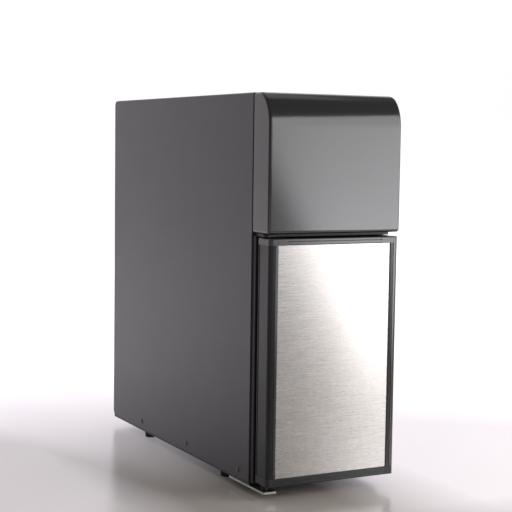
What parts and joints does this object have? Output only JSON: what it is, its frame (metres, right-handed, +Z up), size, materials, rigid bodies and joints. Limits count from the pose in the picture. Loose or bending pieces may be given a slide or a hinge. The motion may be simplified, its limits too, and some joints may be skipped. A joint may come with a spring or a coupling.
{
  "type": "hot towel cabinet",
  "caption": "Narrow countertop hot towel cabinet with a steel-faced hinged door below a gloss black front cover, and a heated chamber with racks.",
  "frame": {"origin": "on the floor under the feet, midway between the sides and between the front of the door and the back of the thermostat knob", "axes": "+X to the right seen from the door, +Y to the rear, +Z up; the door faces -Y"},
  "size_m": [0.228, 0.617, 0.598],
  "materials": {
    "casing_paint": "dark grey satin powder coat",
    "black_steel": "black satin coated steel",
    "gloss_black": "high-gloss black cover",
    "black_plastic": "black moulded plastic",
    "door_frame": "satin black extruded profile",
    "brushed_steel": "stainless steel, horizontal brush lines",
    "zinc_steel": "bright zinc plated steel",
    "chrome_wire": "chrome plated wire",
    "liner_steel": "stainless steel liner sheet",
    "rubber": "black rubber",
    "foam": "needled mineral-fibre board",
    "heater_foil": "aluminium foil heater",
    "lamp_glass": "clear quartz glass tube",
    "white_plastic": "white moulded plastic",
    "cable_black": "black cable sheath",
    "brass": "brass terminals",
    "aluminium": "plain aluminium",
    "copper": "copper capillary and bulb",
    "switch_red": "red rocker"
  },
  "bodies": {
    "cabinet": {"casing_wrapper": "casing_paint", "base_pan": "black_steel", "side_panel_screws": "casing_paint", "back_panel": "casing_paint", "control_plate": "black_steel", "back_panel_screws": "zinc_steel", "divider_plate": "zinc_steel", "fascia_cover": "gloss_black", "fascia_mounting_plate": "black_steel", "fascia_screws": "zinc_steel", "front_frame": "black_plastic", "upper_hinge_rail": "black_steel", "lower_hinge_bracket": "zinc_steel", "hinge_pins": "black_steel", "hinge_screws": "zinc_steel", "rubber_feet": "rubber", "foot_screws": "zinc_steel", "inner_liner": "liner_steel", "insulation_left": "foam", "insulation_right": "foam", "insulation_top": "foam", "insulation_bottom": "foam", "insulation_rear": "foam", "heater_mats": "heater_foil", "thermal_cutout": "white_plastic", "thermostat_bulb": "copper", "rack_rails": "liner_steel", "uv_lamp_tube": "lamp_glass", "uv_lamp_caps": "aluminium", "uv_lamp_holders": "white_plastic", "uv_lamp_guard": "chrome_wire", "lamp_ballast": "zinc_steel", "terminal_block": "white_plastic", "terminal_screws": "brass", "supply_lead": "cable_black", "lamp_lead": "cable_black", "power_inlet": "black_plastic", "power_inlet_pins": "brass", "switch_housings": "black_plastic", "thermostat_body": "black_plastic", "door_switch_body": "black_plastic"},
    "door": {"door_left_stile": "door_frame", "door_right_stile": "door_frame", "door_top_rail": "door_frame", "door_bottom_rail": "door_frame", "door_top_corners": "door_frame", "door_bottom_corners": "door_frame", "door_outer_panel": "brushed_steel", "door_core": "foam", "door_inner_skin": "black_plastic", "door_gasket": "rubber", "door_bushes": "black_plastic"},
    "upper_rack": {"upper_towel_rack": "chrome_wire"},
    "lower_rack": {"lower_towel_rack": "chrome_wire"},
    "tray": {"drip_tray": "liner_steel"},
    "power_rocker": {"power_switch_rocker": "switch_red"},
    "lamp_rocker": {"lamp_switch_rocker": "black_plastic"},
    "knob": {"thermostat_knob": "black_plastic", "thermostat_spindle": "zinc_steel"},
    "plunger": {"door_switch_plunger": "white_plastic"}
  },
  "joints": [
    {"name": "door_hinge", "type": "hinge", "parent": "cabinet", "child": "door", "pos_m": [-0.102, -0.287, 0.2], "axis": [0, 0, -1], "range_deg": [0, 120]},
    {"name": "upper_rack_slide", "type": "slide", "parent": "cabinet", "child": "upper_rack", "axis": [0, -1, 0], "range_m": [0, 0.04]},
    {"name": "lower_rack_slide", "type": "slide", "parent": "cabinet", "child": "lower_rack", "axis": [0, -1, 0], "range_m": [0, 0.04]},
    {"name": "drip_tray_slide", "type": "slide", "parent": "cabinet", "child": "tray", "axis": [0, -1, 0], "range_m": [0, 0.04]},
    {"name": "power_switch", "type": "hinge", "parent": "cabinet", "child": "power_rocker", "pos_m": [-0.016, 0.2922, 0.47], "axis": [-1, 0, 0], "range_deg": [0, 16]},
    {"name": "lamp_switch", "type": "hinge", "parent": "cabinet", "child": "lamp_rocker", "pos_m": [0.016, 0.2922, 0.47], "axis": [-1, 0, 0], "range_deg": [0, 16]},
    {"name": "thermostat_turn", "type": "hinge", "parent": "cabinet", "child": "knob", "pos_m": [0.066, 0.3, 0.47], "axis": [0, -1, 0], "range_deg": [0, 270]},
    {"name": "door_switch_travel", "type": "slide", "parent": "cabinet", "child": "plunger", "axis": [0, -1, 0], "range_m": [0, 0.0032]}
  ],
  "couplings": [
    {"joint": "door_switch_travel", "follows": "door_hinge", "m_per_rad": 0.001432}
  ]
}
